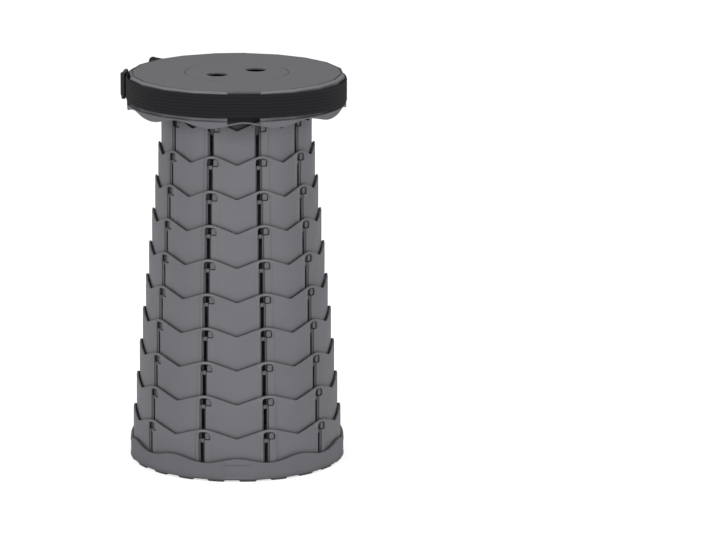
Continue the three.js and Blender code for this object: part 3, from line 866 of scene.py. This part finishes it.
def seat():
    """The seat's cover, one section for each azimuth, and the bosses under it."""
    part = Part("seat_top_shell", GREY_TOP, "seat_cover", "seat", "grey_plastic")
    columns = []
    for azimuth, window in window_columns():
        def f(inset):
            return flat_radius(BODY - inset, SEAT_TURN, azimuth)
        if window:
            off = (azimuth - SEAT_TURN + FACET / 2) % FACET - FACET / 2
            back = (BODY - WINDOW_SETBACK) / math.cos(math.radians(off))
            outside = [(back, UNDERSIDE), (back, UNDERSIDE), (back, UNDERSIDE), (back, 448.4),
                       (back - 0.05, 449.75), (back - 0.3, HEIGHT), (back - 1.9, HEIGHT),
                       (back - 2.0, GROOVE_FLOOR), (back - 3.4, GROOVE_FLOOR),
                       (back - 3.6, HEIGHT)]
            bore = [(RIM_BORE, UNDERSIDE), (RIM_BORE, UNDERSIDE)]
        else:
            outside = [(f(0.3), RIM_BOTTOM), (f(0), RIM_BOTTOM + 0.3), (f(0), UNDERSIDE),
                       (f(0.12), 447.7), (f(2.3), 449.85), (f(2.6), HEIGHT), (f(3.0), HEIGHT),
                       (f(3.1), GROOVE_FLOOR), (f(4.5), GROOVE_FLOOR), (f(4.7), HEIGHT)]
            bore = [(RIM_BORE, UNDERSIDE), (RIM_BORE, RIM_BOTTOM)]
        inside = [(DISC_HOLE + 0.6, HEIGHT), (DISC_HOLE + 0.15, 449.85), (DISC_HOLE, 449.5),
                  (DISC_HOLE, UNDERSIDE), (LEDGE_BORE + 0.3, UNDERSIDE),
                  (LEDGE_BORE, UNDERSIDE - 0.3), (LEDGE_BORE, LEDGE_BOTTOM),
                  (LEDGE_OUTSIDE, LEDGE_BOTTOM), (LEDGE_OUTSIDE, UNDERSIDE)]
        columns.append([turned(r, azimuth, z) for r, z in outside + inside + bore])
    part.add(*loft(columns, True))
    profile = ((BOSS_RADIUS, 448.0), (BOSS_RADIUS, BOSS_END + 0.3), (BOSS_RADIUS - 0.3, BOSS_END),
               (PILOT_RADIUS, BOSS_END), (PILOT_RADIUS, PILOT_TOP))
    for k in range(SCREWS):
        middle = turned(SCREW_CIRCLE, 360 // SCREWS * k, 0)
        loops = [[middle + p.to_3d() + Vector((0, 0, z)) for p in ring_of((0, 0), r, 24)]
                 for r, z in profile]
        part.add(*loft(list(zip(*loops)), True))
    part.make(28)


seat()


def base_edge(azimuth):
    return BASE_TOP + BASE_WAVE * math.cos(math.radians(10 * azimuth))


def skirt():
    """The seat's lower rim. In the windows it is only a bar along its wavy edge."""
    part = Part("seat_skirt_shell", GREY_SKIRT, "seat_skirt", "seat", "grey_plastic")
    wide, narrow = SKIRT_FLARE, SKIRT_FLARE - SKIRT_LIP
    bore = RIM_BORE + 0.3
    places = window_columns()
    columns = []
    for k, (azimuth, window) in enumerate(places):
        def f(out):
            fillet = BASE_FILLET if out > 1 else CORNER_FILLET
            return flat_radius(BODY + out, SEAT_TURN, azimuth, fillet)
        low = SKIRT_LEVEL + SKIRT_WAVE * math.cos(math.radians(10 * (azimuth - SEAT_TURN)))
        # Behind the lip, the wall ends above the base's edge in the closed stool.
        floor = max(low + 0.25, base_edge(azimuth) + CLOSING + SKIRT_CLEARANCE)
        lip = [(f(narrow), low + 0.2), (f(narrow + 0.2), low), (f(wide - 0.3), low),
               (f(wide - 0.1), low + 0.1), (f(wide), low + 0.35)]
        foot = [(bore, floor), (f(narrow), floor)]
        if window and abs(azimuth - SEAT_TURN) > 20:
            high = low + THICK_BAR
            back = [(f(wide), high - 0.3), (f(wide - 0.1), high - 0.1), (f(wide - 0.3), high),
                    (bore, high), (RIM_BORE, high - 0.3), (RIM_BORE, floor + 0.3)]
        elif window:
            high = low + THIN_BAR
            if not (places[k - 1][1] and places[(k + 1) % len(places)][1]):
                high = max(high, floor + 0.2)
            foot = [(f(narrow), high - 0.1), (f(narrow), high - 0.15)]
            back = [(f(wide), high - 0.2), (f(wide - 0.1), high - 0.05), (f(wide - 0.2), high),
                    (f(wide - 0.3), high), (f(narrow + 0.2), high),
                    (f(narrow + 0.05), high - 0.05)]
        else:
            high = RIM_BOTTOM - 0.3
            back = [(f(wide), RIM_BOTTOM - 4.6), (f(0), RIM_BOTTOM - 3.2), (f(0), high - 0.3),
                    (f(-0.3), high), (RIM_BORE, high), (RIM_BORE, floor + 0.3)]
        columns.append([turned(r, azimuth, z) for r, z in foot + lip + back])
    part.add(*loft(columns, True))
    part.make(35)


skirt()


def disc():
    """The flush disc with its two finger holes."""
    part = Part("centre_disc_plate", GREY_TOP, "centre_disc", "seat", "grey_plastic")
    middles = [turned(side * FINGER_PLACE, FINGER_TURN, 0).xy for side in (-1, 1)]
    fill = []
    for r in (15, 30, 45, 54):
        fill += [tuple(p) for p in ring_of((0, 0), r, int(r / 1.5))
                 if all((p - middle).length > 13.5 for middle in middles)]
    part.add(*sheet(ring_of((0, 0), DISC_RADIUS, 120),
                    [ring_of(middle, FINGER_RADIUS, 48) for middle in middles],
                    lambda x, y, depth: Vector((x, y, HEIGHT - depth)), 2.3, 0.4, fill))
    part.make()


disc()


# ---------------------------------------------------------------- base
def nearness(azimuth, count, turn, half, soft):
    """1 near one of count evenly spaced places, and 0 further off than half."""
    off = abs((azimuth - turn + 180 / count) % (360 / count) - 180 / count)
    return min(1, max(0, (half - off) / soft))


def base():
    """The foot shell, with feet under its edge and four shallow recesses round its side."""
    part = Part("base_dish", BASE, "base_cover", "base", "base_plastic")
    feet = [FOOT_TURN + 360 / FEET * k + off for k in range(FEET)
            for off in (-FOOT_HALF, -4.45, -4.0, 4.0, 4.45, FOOT_HALF)]
    recesses = [360 // RECESSES * k + off for k in range(RECESSES)
                for off in (-RECESS_HALF, -7.9, -7.2, 7.2, 7.9, RECESS_HALF)]
    places = facet_azimuths(0, BASE_OFFSETS) + feet + recesses
    columns = []
    for a in sorted(set(round(a % 360, 4) for a in places)):
        def f(inset):
            return flat_radius(BASE_APOTHEM - inset, 0, a, BASE_FILLET)
        edge = base_edge(a)
        low = FOOT_HEIGHT * (1 - nearness(a, FEET, FOOT_TURN, FOOT_HALF, 0.9))
        dent = RECESS_DEPTH * nearness(a, RECESSES, 0, RECESS_HALF, 1.5)
        profile = [(0, FOOT_HEIGHT), (f(11.6), FOOT_HEIGHT), (f(11.3), low), (f(1.7), low),
                   (f(1.3), low + 0.3), (f(1.1), 1.95), (f(0.4), 2.2), (f(0.1), 2.7), (f(0), 3.3),
                   (f(0), 4.2), (f(dent), 6.2), (f(dent), 18.6), (f(0), 20.4), (f(0), edge - 0.5),
                   (f(0.15), edge - 0.13), (f(0.5), edge), (120.7, edge), (120.35, edge - 0.13),
                   (BASE_BORE, edge - 0.5), (BASE_BORE, BASE_FLOOR + 1), (119.2, BASE_FLOOR),
                   (0, BASE_FLOOR)]
        columns.append([turned(r, a, z) for r, z in profile])
    part.add(*loft(columns, True))
    part.make(28)


base()


# ---------------------------------------------------------------- strap
def strap_top(azimuth):
    """Height of the strap's upper edge, which sags between the handle's roots."""
    if azimuth > 0:
        return HEIGHT - STRAP_DROP - STRAP_SAG_RIGHT * math.sin(math.pi * azimuth / STRAP_END)
    return HEIGHT - STRAP_DROP - STRAP_SAG_LEFT * math.sin(math.pi * azimuth / STRAP_START)


def strap_section():
    """Corners of the webbing's section: across from its middle, then out from its inner face."""
    half, points = STRAP_WIDTH / 2, []
    for k in range(RIBS * RIB_STEPS + 1):
        across = -half + STRAP_EDGE + (2 * half - 2 * STRAP_EDGE) * k / (RIBS * RIB_STEPS)
        rib = abs(math.sin(math.pi * RIBS * k / (RIBS * RIB_STEPS)))
        edge = min(1, (half - abs(across)) / 1.2)
        points.append((across, RIB_FLOOR + RIB_HEIGHT * rib ** 0.6 * edge))
    points += [(half - 0.1, 1.4), (half, 1.0), (half - 0.1, 0.4), (half - 0.5, 0.02)]
    points += [(-half + 0.5, 0.02), (-half + 0.1, 0.4), (-half, 1.0), (-half + 0.1, 1.4)]
    return points


SECTION = strap_section()


def strap_band():
    part = Part("strap_band_webbing", CLOTH, "strap_band", "seat", "webbing")
    columns, uvs = [], []
    for k in range(STRAP_STEPS + 1):
        a = STRAP_START + (STRAP_END - STRAP_START) * k / STRAP_STEPS
        middle = strap_top(a) - STRAP_WIDTH / 2
        columns.append([turned(STRAP_RADIUS + out, a, middle + across) for across, out in SECTION])
        uvs += [(math.radians(a) * (STRAP_RADIUS - 1), across) for across, out in SECTION]
    part.add(*loft(columns, False), uvs=uvs)
    part.make(50)


strap_band()


def smooth_path(knots, steps):
    """Centripetal curve through points at even steps: each place, its heading, and its distance."""
    points = [2 * knots[0] - knots[1]] + knots + [2 * knots[-1] - knots[-2]]
    fine = []
    for i in range(1, len(points) - 2):
        p0, p1, p2, p3 = points[i - 1:i + 3]
        t0, t1, t2 = (max(1e-4, (b - a).length) ** 0.5 for a, b in ((p0, p1), (p1, p2), (p2, p3)))
        m1 = ((p1 - p0) / t0 - (p2 - p0) / (t0 + t1) + (p2 - p1) / t1) * t1
        m2 = ((p2 - p1) / t1 - (p3 - p1) / (t1 + t2) + (p3 - p2) / t2) * t1
        for k in range(40):
            t = k / 40
            fine.append(p1 * (2 * t ** 3 - 3 * t ** 2 + 1) + m1 * (t ** 3 - 2 * t ** 2 + t)
                        + p2 * (3 * t ** 2 - 2 * t ** 3) + m2 * (t ** 3 - t ** 2))
    fine.append(knots[-1])
    lengths = [0]
    for a, b in zip(fine, fine[1:]):
        lengths.append(lengths[-1] + (b - a).length)
    places, distances, j = [], [], 0
    for k in range(steps + 1):
        want = lengths[-1] * k / steps
        while j < len(lengths) - 2 and lengths[j + 1] < want:
            j += 1
        share = (want - lengths[j]) / max(1e-9, lengths[j + 1] - lengths[j])
        places.append(fine[j].lerp(fine[j + 1], min(1, share)))
        distances.append(want)
    ways = [(places[min(steps, k + 1)] - places[max(0, k - 1)]).normalized()
            for k in range(steps + 1)]
    return zip(places, ways, distances)


def strap_handle():
    """The loop that stands off the seat's back left, drooping towards its far end."""
    part = Part("strap_handle_webbing", CLOTH, "strap_handle", "seat", "webbing")
    gap = STRAP_START - (STRAP_END - 360)
    middle_turn = STRAP_START - gap / 2
    u, side, z = outwards(middle_turn), sideways(middle_turn), Vector((0, 0, 1))
    width = 2 * HANDLE_ROOT * math.sin(math.radians(gap / 2)) - HANDLE_GAP
    reach = HANDLE_ROOT * math.cos(math.radians(gap / 2))
    ends = (0, len(HANDLE_SHARES) - 1)
    knots = [Vector((-s * (width if i in ends else HANDLE_WIDTH), o * HANDLE_REACH, 0))
             for i, (s, o) in enumerate(HANDLE_SHARES)]
    level = strap_top(STRAP_START) - STRAP_WIDTH / 2
    columns, uvs = [], []
    for p, way, along in smooth_path(knots, HANDLE_STEPS):
        droop = DROOP * max(0, p.y - DROOP_START) / (HANDLE_REACH - DROOP_START)
        cos, sin = math.cos(math.radians(droop)), math.sin(math.radians(droop))
        out = u * cos - z * sin
        wide = z * cos + u * sin
        drop = SECOND_ROOT_DROP * min(1, max(0, -p.x / 15))
        middle = u * reach + side * p.x + out * p.y + z * (level - drop)
        heading = (side * way.x + out * way.y).normalized()
        thick = wide.cross(heading).normalized()
        columns.append([middle + wide * across + thick * (o - 1.0) for across, o in SECTION])
        uvs += [(along, across) for across, o in SECTION]
    part.add(*loft(columns, False), uvs=uvs)
    part.make(50)


strap_handle()


def slider():
    """The three-bar slider: a plate with two openings, and its raised middle bar."""
    middle = strap_top(SLIDER_TURN) - STRAP_WIDTH / 2
    u, t, z = outwards(SLIDER_TURN), sideways(SLIDER_TURN), Vector((0, 0, 1))
    width, height = SLIDER_HALF_WIDTH, SLIDER_HALF_HEIGHT
    outline = divided(rectangle(-width, width, -height, height, [3.5] * 4, 8), 4)
    holes = [divided(rectangle(left, right, -SLIDER_HOLE_HALF, SLIDER_HOLE_HALF, [1.2] * 4, 4), 4)
             for left, right in SLIDER_HOLES]

    def place(s, q, depth):
        return u * (SLIDER_FACE + SLIDER_THICKNESS - depth) + t * s + z * (middle + q)

    plate = Part("strap_slider_plate", BLACK, "strap_slider", "seat", "black_plastic")
    plate.add(*sheet(outline, holes, place, SLIDER_THICKNESS, 0.9))
    plate.make()

    core = SLIDER_THICKNESS / 2
    section = []
    for k in range(13):
        across = -BAR_HALF + 2 * BAR_HALF * k / 12
        lift = BAR_RISE * math.sqrt(max(0, 1 - (across / BAR_HALF) ** 2)) ** 0.7
        section.append((across, SLIDER_THICKNESS + lift))
    section += [(BAR_HALF, core), (-BAR_HALF, core)]
    columns = []
    for q, share in BAR_ENDS:
        columns.append([u * (SLIDER_FACE + core + (out - core) * share) + t * across * share
                        + z * (middle + q) for across, out in section])
    bridge = Part("strap_slider_bar", BLACK, None, "seat", "black_plastic")
    bridge.add(*loft(columns, False))
    bridge.make(35)


slider()

for name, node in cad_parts.items():
    if name.startswith("seat_screw"):
        node.data.materials.clear()
        node.data.materials.append(STEEL)


# ---------------------------------------------------------------- stage
FLOOR_HALF = 9
FLOOR_GLOW = 0.62
WORLD_LIGHT = 0.5
# Each lamp: its place, what it points at, its width and height, and its power in watts
LAMPS = {
    "key": ((-2.15, -2.5, 1.5), (0, 0, 0.25), (1.6, 1.6), 40),
    "side": ((2.35, -2.1, 1.2), (0, 0, 0.25), (1.4, 1.8), 28),
    "top": ((0, 0.4, 2.8), (0, 0, 0.3), (2.0, 2.0), 8),
    "low": ((0, -3.0, 0.5), (0, 0, 0.3), (2.0, 0.8), 3),
}
PHOTO_WIDTH = 716
FOCAL_PIXELS = 4180
SENSOR = 36
EYE = (0, -4.685, 1.326)
PAN, DOWN, ROLL = -1.705, 13.30, 0.28


def show_to_camera(add, link, usual, seen):
    """Mixes two shaders: seen is what the camera sees, usual is what other rays meet."""
    pick = add("ShaderNodeMixShader")
    link(add("ShaderNodeLightPath").outputs["Is Camera Ray"], pick.inputs[0])
    link(usual.outputs[0], pick.inputs[1])
    link(seen.outputs[0], pick.inputs[2])
    return pick.outputs[0]


def floor():
    mesh = bpy.data.meshes.new("floor")
    corners = [(x * FLOOR_HALF, y * FLOOR_HALF, 0) for x, y in ((-1, -1), (1, -1), (1, 1), (-1, 1))]
    mesh.from_pydata(corners, [], [(0, 1, 2, 3)])
    n = Nodes("plain_floor")
    n.tree.nodes.remove(n.shader)
    glow = n.add("ShaderNodeEmission")
    glow.inputs["Strength"].default_value = FLOOR_GLOW
    matt = n.add("ShaderNodeBsdfDiffuse")
    matt.inputs["Color"].default_value = (0.8, 0.8, 0.8, 1)
    both = n.add("ShaderNodeAddShader")
    n.link(glow.outputs[0], both.inputs[0])
    n.link(matt.outputs[0], both.inputs[1])
    n.link(show_to_camera(n.add, n.link, matt, both), n.tree.nodes["Material Output"].inputs[0])
    mesh.materials.append(n.material)
    made = bpy.data.objects.new("floor", mesh)
    bpy.context.scene.collection.objects.link(made)


floor()


def lamp(name, place, aim, size, power):
    light = bpy.data.lights.new(name, "AREA")
    light.shape = "RECTANGLE"
    light.size, light.size_y = size
    light.energy = power
    made = bpy.data.objects.new(name, light)
    made.location = place
    made.rotation_euler = (Vector(aim) - Vector(place)).to_track_quat("-Z", "Y").to_euler()
    bpy.context.scene.collection.objects.link(made)


for lamp_name, values in LAMPS.items():
    lamp(lamp_name, *values)


def studio():
    """A white background that lights the object as a pale grey one."""
    world = bpy.data.worlds.new("studio")
    bpy.context.scene.world = world
    world.use_nodes = True
    tree = world.node_tree
    plain = tree.nodes["Background"]
    plain.inputs["Color"].default_value = (0.9, 0.9, 0.91, 1)
    plain.inputs["Strength"].default_value = WORLD_LIGHT
    white = tree.nodes.new("ShaderNodeBackground")
    white.inputs["Color"].default_value = (1, 1, 1, 1)
    picked = show_to_camera(tree.nodes.new, tree.links.new, plain, white)
    tree.links.new(picked, tree.nodes["World Output"].inputs[0])


studio()


def spun(degrees, axis):
    return Matrix.Rotation(math.radians(degrees), 3, axis)


camera = bpy.data.cameras.new("camera")
camera.sensor_fit = "HORIZONTAL"
camera.sensor_width = SENSOR
camera.lens = FOCAL_PIXELS / PHOTO_WIDTH * SENSOR
eye = bpy.data.objects.new("camera", camera)
eye.location = EYE
eye.rotation_euler = (spun(PAN, "Z") @ spun(90 - DOWN, "X") @ spun(ROLL, "Z")).to_euler()
bpy.context.scene.collection.objects.link(eye)
bpy.context.scene.camera = eye
bpy.context.scene.view_settings.view_transform = "Standard"


bpy.context.view_layer.update()
